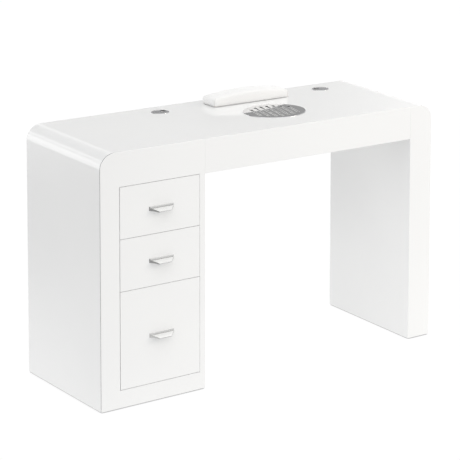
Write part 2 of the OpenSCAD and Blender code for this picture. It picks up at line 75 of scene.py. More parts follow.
def add(t, kind, ins=None, **props):
    n = t.nodes.new(kind)
    for k, v in props.items():
        setattr(n, k, v)
    for k, v in (ins or {}).items():
        put(t, n.inputs[k], v)
    return n


def calc(t, op, a, b=None, c=None, clamp=False):
    n = add(t, "ShaderNodeMath", operation=op, use_clamp=clamp)
    for k, v in enumerate((a, b, c)):
        if v is not None:
            put(t, n.inputs[k], v)
    return n.outputs[0]


def span(t, value, a, b, c, d, smooth=False):
    n = add(t, "ShaderNodeMapRange", {0: value, 1: a, 2: b, 3: c, 4: d},
            interpolation_type="SMOOTHSTEP" if smooth else "LINEAR")
    return n.outputs[0]


def place(t, scale=(1, 1, 1), turn=(0, 0, 0)):
    co = add(t, "ShaderNodeTexCoord").outputs["Object"]
    return add(t, "ShaderNodeMapping", {"Vector": co, "Scale": scale, "Rotation": turn}).outputs[0]


def grain(t, vec, scale, detail=2.0, rough=0.5, twist=0.0):
    return add(t, "ShaderNodeTexNoise", {"Vector": vec, "Scale": scale, "Detail": detail,
                                         "Roughness": rough, "Distortion": twist}).outputs["Fac"]


def cells(t, vec, scale, feature="F1", what="Distance"):
    return add(t, "ShaderNodeTexVoronoi", {"Vector": vec, "Scale": scale}, feature=feature).outputs[what]


def tone(t, fac, a, b):
    n = add(t, "ShaderNodeMix", data_type="RGBA")
    put(t, n.inputs[0], fac)
    n.inputs[6].default_value = (*a, 1)
    n.inputs[7].default_value = (*b, 1)
    return n.outputs[2]


def relief(t, height, distance, strength=1.0, normal=None):
    n = add(t, "ShaderNodeBump", {"Height": height, "Distance": distance, "Strength": strength})
    if normal is not None:
        put(t, n.inputs["Normal"], normal)
    return n.outputs[0]


def material(name):
    m = bpy.data.materials.new(name)
    m.use_nodes = True
    t = m.node_tree
    t.nodes.clear()
    b = add(t, "ShaderNodeBsdfPrincipled")
    o = add(t, "ShaderNodeOutputMaterial", {"Surface": b.outputs[0]})
    return m, t, b


# ---------------------------------------------------------------- materials
def make_lacquer(name, low, high, coat=1.0):
    """Polished lacquer on board: clear top coat with faint orange peel and long waves."""
    m, t, b = material(name)
    co = place(t)
    put(t, b.inputs["Base Color"], tone(t, span(t, grain(t, co, 2.2, 3), 0.35, 0.65, 0, 1), low, high))
    put(t, b.inputs["Roughness"], span(t, grain(t, co, 55, 3), 0.3, 0.7, 0.34, 0.46))
    b.inputs["Specular IOR Level"].default_value = 0.2
    b.inputs["Coat Weight"].default_value = coat
    put(t, b.inputs["Coat Roughness"], span(t, grain(t, co, 28, 4, 0.6), 0.3, 0.75, 0.018, 0.05))
    peel = calc(t, "ADD", calc(t, "MULTIPLY", grain(t, co, 260, 1), 0.35), grain(t, co, 15, 1))
    n = relief(t, peel, 0.00006, 1.0)
    put(t, b.inputs["Normal"], n)
    put(t, b.inputs["Coat Normal"], n)
    return m


def make_wood(name, low, high, across=(1, 1, 1)):
    """Birch board: long grain with pores."""
    m, t, b = material(name)
    co = place(t, across)
    bend = grain(t, co, 6, 3)
    wave = add(t, "ShaderNodeTexWave", {"Vector": co, "Scale": 14.0, "Distortion": 5.0, "Detail": 3.0,
                                        "Detail Scale": 1.6}, wave_type="BANDS", bands_direction="Y").outputs["Fac"]
    pores = span(t, grain(t, co, 260, 3, 0.65), 0.45, 0.72, 0, 1)
    f = calc(t, "ADD", calc(t, "MULTIPLY", wave, 0.55), calc(t, "MULTIPLY", bend, 0.45))
    f = calc(t, "SUBTRACT", f, calc(t, "MULTIPLY", pores, 0.3), clamp=True)
    put(t, b.inputs["Base Color"], tone(t, f, low, high))
    put(t, b.inputs["Roughness"], span(t, pores, 0, 1, 0.5, 0.68))
    put(t, b.inputs["Normal"], relief(t, calc(t, "SUBTRACT", wave, pores), 0.00012, 0.6))
    return m


def make_metal(name, low, high, r0, r1, lines=(1, 1, 1), depth=0.00001, scale=900):
    """Plated or bare metal: fine directional lines, cloudy polish."""
    m, t, b = material(name)
    co = place(t)
    b.inputs["Metallic"].default_value = 1.0
    cloud = grain(t, co, 30, 4, 0.6)
    put(t, b.inputs["Base Color"], tone(t, cloud, low, high))
    rub = grain(t, place(t, lines), scale, 2, 0.6)
    put(t, b.inputs["Roughness"], calc(t, "ADD", span(t, cloud, 0.3, 0.7, r0, r1),
                                       span(t, rub, 0.3, 0.7, 0.0, 0.04)))
    put(t, b.inputs["Normal"], relief(t, rub, depth, 0.8))
    return m


def paint_highlight_on_top(m, low, high):
    """The face that looks up is painted near-white, a painted highlight for the bright surroundings it mirrors; the
    edges keep the darker satin chrome colour.
    """
    t = m.node_tree
    b = next(n for n in t.nodes if n.type == "BSDF_PRINCIPLED")
    edge = b.inputs["Base Color"].links[0].from_socket
    up = add(t, "ShaderNodeSeparateXYZ", {0: add(t, "ShaderNodeNewGeometry").outputs["Normal"]}).outputs[2]
    n = add(t, "ShaderNodeMix", data_type="RGBA")
    # painted highlight: the faces turned up take the near-white colour, the rest keep the satin one
    put(t, n.inputs[0], span(t, up, 0.3, 0.65, 0, 1, True))
    put(t, n.inputs[6], edge)
    put(t, n.inputs[7], tone(t, grain(t, place(t), 30, 4, 0.6), low, high))
    put(t, b.inputs["Base Color"], n.outputs[2])
    return m


def make_plastic(name, low, high, r0, r1, scale=1400, depth=0.00005):
    """Moulded plastic with a fine spark-eroded grain."""
    m, t, b = material(name)
    co = place(t)
    pits = cells(t, co, scale)
    put(t, b.inputs["Base Color"], tone(t, grain(t, co, 40, 3), low, high))
    put(t, b.inputs["Roughness"], span(t, grain(t, co, 160, 3), 0.3, 0.7, r0, r1))
    put(t, b.inputs["Normal"], relief(t, pits, depth, 0.7))
    return m


def make_felt(name):
    m, t, b = material(name)
    fibre = grain(t, place(t, (1, 0.25, 1)), 1500, 4, 0.7, 1.2)
    cross = grain(t, place(t, (0.3, 1, 1), (0, 0, 0.7)), 1300, 4, 0.7, 1.0)
    f = calc(t, "MULTIPLY", calc(t, "ADD", fibre, cross), 0.5)
    put(t, b.inputs["Base Color"], tone(t, span(t, f, 0.35, 0.65, 0, 1), (0.70, 0.70, 0.69), (0.90, 0.90, 0.89)))
    b.inputs["Roughness"].default_value = 0.95
    b.inputs["Sheen Weight"].default_value = 0.4
    put(t, b.inputs["Normal"], relief(t, f, 0.0006, 0.9))
    return m


def make_copper(name):
    m, t, b = material(name)
    b.inputs["Metallic"].default_value = 1.0
    wind = add(t, "ShaderNodeTexWave", {"Vector": place(t), "Scale": 420.0, "Distortion": 0.4, "Detail": 1.0},
               wave_type="BANDS", bands_direction="Z").outputs["Fac"]
    # the bands are painted dark between the turns and bright along them: painted shade and highlight of the round wire
    put(t, b.inputs["Base Color"], tone(t, wind, (0.32, 0.12, 0.05), (0.80, 0.42, 0.24)))
    put(t, b.inputs["Roughness"], span(t, wind, 0, 1, 0.45, 0.25))
    put(t, b.inputs["Normal"], relief(t, wind, 0.0003, 0.8))
    return m


def make_leatherette(name):
    """White embossed leatherette: small irregular cells with fine creases between them."""
    m, t, b = material(name)
    co = place(t)
    n = add(t, "ShaderNodeTexNoise", {"Vector": co, "Scale": 240.0, "Detail": 2.0}).outputs["Color"]
    sc = add(t, "ShaderNodeVectorMath", {0: n}, operation="SCALE")
    sc.inputs["Scale"].default_value = 0.0012
    warp = add(t, "ShaderNodeVectorMath", {0: co, 1: sc.outputs[0]}, operation="ADD")
    crease = add(t, "ShaderNodeTexVoronoi", {"Vector": warp.outputs[0], "Scale": 520.0}, feature="DISTANCE_TO_EDGE").outputs["Distance"]
    fold = span(t, crease, 0.0, 0.16, 0.0, 1.0, True)
    cloud = span(t, grain(t, co, 9, 3), 0.35, 0.65, 0, 1)
    # the creases between the cells are painted darker as shade; the cloud is a random tone
    crease_shade_and_cloud = calc(t, "MULTIPLY", span(t, fold, 0, 1, 0.55, 1.0), span(t, cloud, 0, 1, 0.94, 1.0))
    put(t, b.inputs["Base Color"], tone(t, crease_shade_and_cloud, (0.755, 0.753, 0.747), (0.925, 0.923, 0.918)))
    put(t, b.inputs["Roughness"], span(t, fold, 0, 1, 0.62, 0.46))
    b.inputs["Specular IOR Level"].default_value = 0.32
    b.inputs["Coat Weight"].default_value = 0.05
    b.inputs["Coat Roughness"].default_value = 0.35
    h = calc(t, "ADD", fold, calc(t, "MULTIPLY", grain(t, co, 1500, 2), 0.35))
    put(t, b.inputs["Normal"], relief(t, h, 0.00012, 0.7))
    return m


MATS = {
    "white_lacquer": make_lacquer("white_lacquer_gloss", (0.876, 0.878, 0.876), (0.892, 0.893, 0.889), 0.65),
    "bare_board": make_wood("birch_board", (0.46, 0.30, 0.17), (0.78, 0.60, 0.41), (0.6, 3, 3)),
    "zinc_steel": make_metal("zinc_plated_steel", (0.60, 0.62, 0.64), (0.76, 0.77, 0.78), 0.2, 0.34, (1, 0.05, 1), 0.00002),
    # the pulls' faces that look up carry a painted highlight
    "pull_metal": paint_highlight_on_top(make_metal("satin_chrome", (0.58, 0.58, 0.575), (0.63, 0.63, 0.62), 0.1, 0.17, (0.05, 1, 1), 0.00001),
                             (0.94, 0.94, 0.935), (0.98, 0.98, 0.975)),
    "outlet_chrome": make_metal("bright_chrome", (0.80, 0.80, 0.81), (0.86, 0.86, 0.87), 0.05, 0.09, (1, 1, 1), 0.000004),
    "grille_metal": make_metal("polished_grille_steel", (0.77, 0.77, 0.775), (0.83, 0.83, 0.835), 0.012, 0.03, (0.04, 1, 1), 0.000003),
    "black_plastic": make_plastic("black_abs", (0.012, 0.012, 0.013), (0.022, 0.022, 0.023), 0.35, 0.5),
    "grey_plastic": make_plastic("grey_nylon", (0.16, 0.16, 0.165), (0.22, 0.22, 0.225), 0.4, 0.6),
    "filter_felt": make_felt("filter_felt"),
    "motor_copper": make_copper("copper_winding"),
    "white_leatherette": make_leatherette("white_leatherette_grain"),
    "rubber": make_plastic("black_rubber", (0.016, 0.016, 0.016), (0.03, 0.03, 0.029), 0.55, 0.75, 900, 0.00008),
}
# near-black lacquer on the joint groove's walls: painted shade standing in for the shadow down the gap
GROOVE_SHADE = make_lacquer("lacquer_groove_painted_shade", (0.16, 0.16, 0.16), (0.2, 0.2, 0.2), 0.3)
MATS["seam_thread"] = make_plastic("pale_seam_cord", (0.60, 0.59, 0.57), (0.74, 0.73, 0.71), 0.6, 0.8, 1800, 0.0001)

for name, o in nodes.items():
    for s in o.material_slots:
        s.material = MATS[s.material.name.split(".")[0]]


# ---------------------------------------------------------------- shading of the carried-over parts
def angle_group():
    g = bpy.data.node_groups.new("shade_by_angle", "GeometryNodeTree")
    g.interface.new_socket("Geometry", in_out="INPUT", socket_type="NodeSocketGeometry")
    g.interface.new_socket("Geometry", in_out="OUTPUT", socket_type="NodeSocketGeometry")
    a = g.nodes.new("NodeGroupInput")
    z = g.nodes.new("NodeGroupOutput")
    ang = g.nodes.new("GeometryNodeInputMeshEdgeAngle")
    cmp = g.nodes.new("FunctionNodeCompare")
    cmp.data_type, cmp.operation = "FLOAT", "GREATER_THAN"
    cmp.inputs[1].default_value = math.radians(38)
    g.links.new(ang.outputs[0], cmp.inputs[0])
    s1 = g.nodes.new("GeometryNodeSetShadeSmooth")
    s1.domain = "FACE"
    s2 = g.nodes.new("GeometryNodeSetShadeSmooth")
    s2.domain = "EDGE"
    s2.inputs["Shade Smooth"].default_value = False
    g.links.new(a.outputs[0], s1.inputs[0])
    g.links.new(s1.outputs[0], s2.inputs[0])
    g.links.new(cmp.outputs[0], s2.inputs["Selection"])
    g.links.new(s2.outputs[0], z.inputs[0])
    return g


BY_ANGLE = angle_group()


def drop_normals(me):
    for k in ("custom_normal", "sharp_edge", "sharp_face"):
        a = me.attributes.get(k)
        if a is not None:
            me.attributes.remove(a)


def finish_hard(o, width=0.0004, segments=2, weld=True):
    """Rounded edges and clean shading on a rigid piece, by modifiers only."""
    drop_normals(o.data)
    if weld:
        w = o.modifiers.new("weld", "WELD")
        w.merge_threshold = 2e-6
        d = o.modifiers.new("flat", "DECIMATE")
        d.decimate_type = "DISSOLVE"
        d.angle_limit = math.radians(0.6)
    if width:
        b = o.modifiers.new("edges", "BEVEL")
        b.width, b.segments, b.limit_method, b.angle_limit = width, segments, "ANGLE", math.radians(38)
        b.use_clamp_overlap = True
        b.miter_outer = "MITER_ARC"
    g = o.modifiers.new("angle", "NODES")
    g.node_group = BY_ANGLE
    n = o.modifiers.new("normals", "WEIGHTED_NORMAL")
    n.keep_sharp = True
    n.weight = 80


# ---------------------------------------------------------------- lacquered boards
FIT = Vector((0.590, 0.227, 0.0))


def row(x, y, z):
    """A point given in millimetres from the table's front left lower corner."""
    return Vector((x, y, z)) / 1000 - FIT


def inset(pts, ds):
    """The outline moved into the board, edge i by ds[i]."""
    n, out = len(pts), []
    for i in range(n):
        p, a, b = Vector(pts[i]), Vector(pts[i - 1]), Vector(pts[(i + 1) % n])
        e0, e1 = (p - a).normalized(), (b - p).normalized()
        n0, n1 = Vector((-e0.y, e0.x)), Vector((-e1.y, e1.x))
        d0, d1 = ds[i - 1], ds[i]
        cross = n0.x * n1.y - n0.y * n1.x
        if abs(cross) < 0.2:
            m = (n0 + n1).normalized() * ((d0 + d1) / 2)
        else:
            m = Vector(((d0 * n1.y - d1 * n0.y) / cross, (n0.x * d1 - n1.x * d0) / cross))
        out.append(tuple(p + m))
    return out


ROUND = [(0.0, 1.0), (0.13, 0.5), (0.5, 0.13), (1.0, 0.0)]  # depth and inset of a rounded edge


def board(name, node, outer, edge, hole=None, hole_edge=None, y0=0.0, y1=18.0, groove=None, back=False, w=1.0, smooth_arc=False):
    """A board whose outline is drawn from the front. edge[i] is the rounding of outline edge i at the outer face,
    and groove[i] the depth of a joint groove just behind it, whose walls are painted near-black as shade."""
    layers = [(d * w, f * w, 0.0, 0) for d, f in ROUND]
    if groove:
        layers += [(1.5, 0, 0, 0), (1.62, 0, 1, 1), (3.3, 0, 1, 1), (3.42, 0, 0, 1)]
    layers += [(y1 - y0, 0, 0, 0)]
    bm = bmesh.new()
    rings, hrings = [], []
    for d, f, g, seam in layers:
        ds = [f * e + (g * groove[i] if groove else 0) for i, e in enumerate(edge)]
        y = y1 - d if back else y0 + d
        rings.append([bm.verts.new(row(x, y, z)) for x, z in inset(outer, ds)])
        if hole:
            hrings.append([bm.verts.new(row(x, y, z)) for x, z in inset(hole, [f * e for e in hole_edge])])
    for rr in (rings, hrings):
        for k in range(len(rr) - 1):
            a, b = rr[k], rr[k + 1]
            n = len(a)
            for i in range(n):
                f = bm.faces.new((a[i], a[(i + 1) % n], b[(i + 1) % n], b[i]))
                # the joint groove's walls take the second slot, which is painted shade
                f.material_index = 1 if (groove and rr is rings and layers[k + 1][3] and groove[i] > 0) else 0
    for k in (0, -1):
        es = []
        for rr in (rings, hrings):
            if rr:
                r = rr[k]
                es += [bm.edges.get((r[i], r[(i + 1) % len(r)])) for i in range(len(r))]
        bmesh.ops.triangle_fill(bm, use_beauty=True, use_dissolve=True, edges=es)
    bmesh.ops.recalc_face_normals(bm, faces=bm.faces)
    me = bpy.data.meshes.new(name)
    bm.to_mesh(me)
    bm.free()
    me.materials.append(MATS["white_lacquer"])
    me.materials.append(GROOVE_SHADE)
    o = bpy.data.objects.new(name, me)
    scene.collection.objects.link(o)
    g = o.modifiers.new("angle", "NODES")
    g.node_group = BY_ANGLE
    n = o.modifiers.new("normals", "WEIGHTED_NORMAL")
    n.keep_sharp, n.weight = True, 90
    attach(o, nodes[node]["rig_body"])
    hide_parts(node)
    return o


def mm(node):
    lo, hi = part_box(node)
    return [round(v, 3) for p in (lo, hi) for v in ((p.x + FIT.x) * 1000, (p.y + FIT.y) * 1000, p.z * 1000)]


x0, y0, z0, x1, y1, z1 = mm("pedestal_face_panel")
R = round(z1 - mm("left_side_panel")[5], 3)
ARC = 40
FREE, NEAR_JOINT, FAR_JOINT = 1.0, 0.15, 0.6


def left_outline(x0, z0, x1, z1, split):
    """Counter-clockwise, from the lower left corner; the upper left corner is round."""
    pts = [(x0, z0), (x1, z0), (x1, split - 1), (x1, split + 1), (x1, z1)]
    edge = [FREE, FREE, (FREE + NEAR_JOINT) / 2, NEAR_JOINT, FREE]
    for k in range(ARC + 1):
        a = math.pi / 2 * (1 + k / ARC)
        pts.append((x0 + R + R * math.cos(a), z1 - R + R * math.sin(a)))
        edge.append(FREE)
    return pts, edge


def right_outline(x0, z0, x1, z1, split):
    pts = [(x0, z0), (x1, z0)]
    edge = [FREE, FREE]
    for k in range(ARC + 1):
        a = math.pi / 2 * k / ARC
        pts.append((x1 - R + R * math.cos(a), z1 - R + R * math.sin(a)))
        edge.append(FREE)
    pts += [(x0, z1), (x0, split + 1), (x0, split - 1)]
    edge += [FAR_JOINT, (FREE + FAR_JOINT) / 2, FREE]
    return pts, edge


UNDER = mm("front_apron")[2]
pts, edge = left_outline(x0, z0, x1, z1, UNDER)
groove = [0.0] * len(pts)
for i in range(5, 5 + ARC + 1):
    a = (i - 5) / ARC
    groove[i] = 0.8 * min(1.0, a / 0.25)
groove[len(pts) - 1] = 0.8
fx = mm("bottom_drawer_front")
tx = mm("top_drawer_front")
gap, shift = 1.2, 0.4
hx0, hx1, hz0, hz1 = fx[0] - gap - shift, fx[3] + gap - shift, fx[2] - gap, tx[5] + gap
hole = [(hx0, hz0), (hx0, hz1), (hx1, hz1), (hx1, hz0)]
board("pedestal_face_board", "pedestal_face_panel", pts, edge, hole, [0.35] * 4, y0, y1, groove)

bx0, by0, bz0, bx1, by1, bz1 = mm("pedestal_back_panel")
pts, edge = left_outline(bx0, bz0, bx1, bz1, UNDER)
board("pedestal_back_board", "pedestal_back_panel", pts, edge, None, None, by0, by1, None, True)

lx0, ly0, lz0, lx1, ly1, lz1 = mm("leg_front_panel")
pts, edge = right_outline(lx0, lz0, lx1, lz1, UNDER)
board("leg_front_board", "leg_front_panel", pts, edge, None, None, ly0, ly1)
rx0, ry0, rz0, rx1, ry1, rz1 = mm("leg_rear_panel")
pts, edge = right_outline(rx0, rz0, rx1, rz1, UNDER)
board("leg_rear_board", "leg_rear_panel", pts, edge, None, None, ry0, ry1, None, True)

for node, back in (("front_apron", False), ("rear_apron", True)):
    ax0, ay0, az0, ax1, ay1, az1 = mm(node)
    board(node + "_board", node, [(ax0, az0), (ax1, az0), (ax1, az1), (ax0, az1)], [FREE, FAR_JOINT, FREE, NEAR_JOINT],
          None, None, ay0, ay1, None, back)
for d in ("top", "middle", "bottom"):
    ax0, ay0, az0, ax1, ay1, az1 = mm(d + "_drawer_front")
    board(d + "_drawer_front_board", d + "_drawer_front", [(ax0, az0), (ax1, az0), (ax1, az1), (ax0, az1)],
          [0.35] * 4, None, None, ay0, ay1)


def rolls():
    """The two rounded upper corners, one smooth bent board each."""
    rx0, ry0, rz0, rx1, ry1, rz1 = mm("corner_rolls")
    ro, ri, n = R, R - 18.0, 48
    verts, faces, normals = [], [], []
    for side in (0, 1):
        cx, cz = (rx0 + R, rz1 - R) if side == 0 else (rx1 - R, rz1 - R)
        base = len(verts)
        for k in range(n + 1):
            a = math.pi / 2 * (1 + k / n) if side == 0 else math.pi / 2 * (1 - k / n)
            c, s = math.cos(a), math.sin(a)
            for r, y in ((ro, ry0), (ro, ry1), (ri, ry1), (ri, ry0)):
                verts.append(row(cx + r * c, y, cz + r * s))

        def q(a, b, c, d):
            f = (a, b, c, d) if side == 0 else (d, c, b, a)
            faces.append(f)
        for k in range(n):
            i, j = base + 4 * k, base + 4 * k + 4
            q(i, j, j + 1, i + 1)
            q(i + 1, j + 1, j + 2, i + 2)
            q(i + 2, j + 2, j + 3, i + 3)
            q(i + 3, j + 3, j, i)
        q(base, base + 1, base + 2, base + 3)
        e = base + 4 * n
        q(e + 3, e + 2, e + 1, e)
    me = bpy.data.meshes.new("corner_roll_boards")
    me.from_pydata(verts, [], faces)
    bm = bmesh.new()
    bm.from_mesh(me)
    bmesh.ops.recalc_face_normals(bm, faces=bm.faces)
    bm.to_mesh(me)
    bm.free()
    me.polygons.foreach_set("use_smooth", [True] * len(me.polygons))
    me.update()
    cl, cr = row(rx0 + R, 0, rz1 - R), row(rx1 - R, 0, rz1 - R)
    out = []
    for p in me.polygons:
        for li in p.loop_indices:
            v = me.vertices[me.loops[li].vertex_index].co
            c = cl if v.x < 0 else cr
            d = Vector((v.x - c.x, 0, v.z - c.z))
            outer, inner = abs(d.length - ro / 1000) < 1e-4, abs(d.length - ri / 1000) < 1e-4
            d.normalize()
            if p.normal.dot(d) > 0.99 and outer:
                out.append(d)
            elif p.normal.dot(d) < -0.99 and inner:
                out.append(-d)
            else:
                out.append(p.normal.copy())
    me.normals_split_custom_set(out)
    me.materials.append(MATS["white_lacquer"])
    o = bpy.data.objects.new("corner_roll_boards", me)
    scene.collection.objects.link(o)
    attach(o, "carcass")
    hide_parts("corner_rolls")


rolls()


# ---------------------------------------------------------------- hand rest
def new_object(name, me, mat):
    o = bpy.data.objects.new(name, me)
    scene.collection.objects.link(o)
    me.materials.clear()
    me.materials.append(mat)
    return o


def evaluated_copy(o, name):
    dg = bpy.context.evaluated_depsgraph_get()
    me = bpy.data.meshes.new_from_object(o.evaluated_get(dg), preserve_all_data_layers=False, depsgraph=dg)
    me.name = name
    return me


def section(hy, zb, top, crown, r_top, r_low):
    """One slice across the pad: square below, a soft radius above, the top crowned."""
    pts = []
    for sy, cz, r, a0 in ((1, zb + r_low, r_low, -90), (1, top - r_top, r_top, 0)):
        for k in range(7):
            a = math.radians(a0 + 15 * k)
            pts.append((sy * (hy - r + r * math.cos(a)), cz + r * math.sin(a)))
    for k in range(1, 14):
        y = (hy - r_top) * (1 - k / 7)
        pts.append((y, top + crown * (1 - (y / (hy - r_top)) ** 2)))
    for cz, r, a0 in ((top - r_top, r_top, 90), (zb + r_low, r_low, 180)):
        for k in range(7):
            a = math.radians(a0 + 15 * k)
            pts.append((-(hy - r) + r * math.cos(a), cz + r * math.sin(a)))
    return pts


def cushion():
    plo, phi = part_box("hand_rest_pad")
    blo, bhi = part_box("hand_rest_board")
    zb = blo.z - 0.0018
    cx, cy = (plo.x + phi.x) / 2, (plo.y + phi.y) / 2
    hx, hy = (phi.x - plo.x) / 2 - 0.002, (phi.y - plo.y) / 2 - 0.0025
    end_z, mid_z = plo.z + 0.014 - 0.0015, phi.z - 0.004
    nx = 72
    bm = bmesh.new()
    loops = []
    for k in range(nx + 1):
        u = 2 * k / nx - 1
        us = math.copysign(1 - (1 - abs(u)) ** 1.3, u)
        top = end_z + (mid_z - end_z) * (1 - us * us)
        # the upper end edges are round, the ends themselves stand nearly upright
        e = max(0.0, 1 - (1 - abs(us)) * hx / 0.005)
        drop = 0.005 * (1 - math.sqrt(max(0.0, 1 - e * e)))
        side = 0.002 * (1 - math.sqrt(max(0.0, 1 - e * e)))
        loops.append([bm.verts.new((cx + hx * us, cy + y, z))
                      for y, z in section(hy - side, zb, top - drop, 0.0015, 0.006, 0.001)])
    ring = len(loops[0])
    for a, b in zip(loops, loops[1:]):
        for j in range(ring):
            bm.faces.new((a[j], b[j], b[(j + 1) % ring], a[(j + 1) % ring]))
    bm.faces.new(loops[0])
    bm.faces.new(list(reversed(loops[-1])))
    bmesh.ops.recalc_face_normals(bm, faces=bm.faces)
    me = bpy.data.meshes.new("hand_rest_start")
    bm.to_mesh(me)
    bm.free()
    o = new_object("hand_rest_start", me, MATS["white_leatherette"])
    r = o.modifiers.new("r", "REMESH")
    r.mode, r.voxel_size, r.adaptivity = "VOXEL", 0.004, 0.0
    bpy.context.view_layer.update()
    me2 = evaluated_copy(o, "hand_rest_cushion")
    bpy.data.objects.remove(o)
    o = new_object("hand_rest_cushion", me2, MATS["white_leatherette"])
    rest = [v.co.copy() for v in me2.vertices]
    g = o.vertex_groups.new(name="pin")
    for v in me2.vertices:
        # the bottom is stapled down and the seamed edges give way less than the panels between them
        if v.co.z < zb + 0.0045:
            g.add([v.index], 1.0, "REPLACE")
        elif max(abs(k) for k in v.normal) < 0.94:
            g.add([v.index], 0.85, "REPLACE")
    c = o.modifiers.new("cloth", "CLOTH")
    s = c.settings
    s.quality, s.mass, s.air_damping = 8, 0.25, 2.0
    s.tension_stiffness = s.compression_stiffness = 18
    s.shear_stiffness, s.bending_stiffness = 8, 1.2
    s.use_pressure, s.uniform_pressure_force = True, 4.0
    s.vertex_group_mass = "pin"
    s.effector_weights.gravity = 0
    c.collision_settings.use_collision = False
    c.point_cache.frame_start, c.point_cache.frame_end = 1, 20
    for f in range(1, 21):
        scene.frame_set(f)
    me3 = evaluated_copy(o, "hand_rest_cushion_mesh")
    scene.frame_set(1)
    o.modifiers.clear()
    cap = 0.006
    for i, v in enumerate(me3.vertices):
        d = v.co - rest[i]
        if d.length > cap:
            d *= cap / d.length
        v.co = rest[i] + d
    o.data = me3
    o.vertex_groups.clear()
    me = o.data
    # a little settling of the cover, then the stuffed shape drawn to its own footprint
    bm = bmesh.new()
    bm.from_mesh(me)
    for _ in range(3):
        bmesh.ops.smooth_vert(bm, verts=bm.verts, factor=0.4, use_axis_x=True, use_axis_y=True, use_axis_z=True)
    bm.to_mesh(me)
    bm.free()
    sub = o.modifiers.new("sub", "SUBSURF")
    sub.levels = sub.render_levels = 1
    bpy.context.view_layer.update()
    me = evaluated_copy(o, "hand_rest_cushion_final")
    o.modifiers.clear()
    o.data = me
    los = [min(v.co[i] for v in me.vertices) for i in range(3)]
    his = [max(v.co[i] for v in me.vertices) for i in range(3)]
    want_lo, want_hi = (plo.x, plo.y, zb), (phi.x, phi.y, phi.z - 0.0015)
    corners = [Vector((cx + sx * (hx + 0.002), cy + sy * (hy + 0.0025))) for sx in (-1, 1) for sy in (-1, 1)]
    for v in me.vertices:
        for i in range(3):
            v.co[i] = want_lo[i] + (v.co[i] - los[i]) * (want_hi[i] - want_lo[i]) / (his[i] - los[i])
        # the bottom is drawn flat under the board
        if v.co.z < zb + 0.0022:
            v.co.z = zb
    for v in me.vertices:
        p = v.co * 1000
        # the cover is pulled round the corners: a shallow fold runs up each one, with slack folds fanning from it
        for c in corners:
            away = Vector((v.co.x, v.co.y)) - c
            d = away.length
            if d < 0.03 and v.co.z > zb + 0.001:
                up = min(1.0, (v.co.z - zb) / 0.012)
                inward = Vector((-math.copysign(1, c.x - cx), -math.copysign(1, c.y - cy), 0)).normalized()
                v.co += inward * 0.0011 * math.exp(-(d / 0.0028) ** 2) * up
                fan = noise.noise(Vector((p.x * 0.13, p.y * 0.2, p.z * 0.08)))
                v.co += Vector((0, 0, 0.0009 * fan * math.exp(-(d / 0.014) ** 2) * up))
    me.materials.clear()
    me.materials.append(MATS["white_leatherette"])
    me.polygons.foreach_set("use_smooth", [True] * len(me.polygons))
    # the cover is turned in under the board, which shows inside its hem
    for v in me.vertices:
        if v.co.z < zb + 0.0005:
            k = min((phi.x - plo.x) / 2 - abs(v.co.x - cx), (phi.y - plo.y) / 2 - abs(v.co.y - cy))
            t = min(1.0, max(0.0, (k - 0.011) / 0.003))
            v.co.z = zb + t * (blo.z + 0.0003 - zb)
    me.polygons.foreach_set("use_smooth", [True] * len(me.polygons))
    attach(o, "hand_rest")
    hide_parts("hand_rest_pad")

    # a corded seam up each corner, laid on the finished surface
    bm = bmesh.new()
    bm.from_mesh(me)
    tree = BVHTree.FromBMesh(bm)
    bm.free()
    for n, (sx, sy) in enumerate(((-1, -1), (1, -1), (1, 1), (-1, 1))):
        c = Vector((cx + sx * (hx + 0.002), cy + sy * (hy + 0.0025), 0))
        top = plo.z + 0.014
        path = []
        for k in range(41):
            f = k / 40
            z = zb + 0.0008 + (top - zb) * f
            over = max(0.0, f - 0.62) / 0.38
            q = Vector((c.x - sx * 0.010 * over ** 2, c.y - sy * 0.010 * over ** 2, z + 0.004 * over))
            hit = tree.find_nearest(q)
            path.append(hit[0] - hit[1] * 0.0001)
        out = [path[0]]
        for q in path[1:]:
            if (q - out[-1]).length > 0.0008:
                out.append(q)
        for _ in range(5):
            out = [out[0]] + [(a + 2 * b + c2) / 4 for a, b, c2 in zip(out, out[1:], out[2:])] + [out[-1]]
        name = "hand_rest_corner_seam_%d" % (n + 1)
        cu = bpy.data.curves.new(name, "CURVE")
        cu.dimensions = "3D"
        sp = cu.splines.new("POLY")
        sp.points.add(len(out) - 1)
        for i, q in enumerate(out):
            sp.points[i].co = (*q, 1)
        cu.bevel_depth, cu.bevel_resolution = 0.00055, 2
        cu.use_fill_caps = True
        tmp = bpy.data.objects.new("tmp", cu)
        scene.collection.objects.link(tmp)
        bpy.context.view_layer.update()
        wm = evaluated_copy(tmp, name)
        bpy.data.objects.remove(tmp)
        w = new_object(name, wm, MATS["seam_thread"])
        wm.polygons.foreach_set("use_smooth", [True] * len(wm.polygons))
        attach(w, "hand_rest")


cushion()

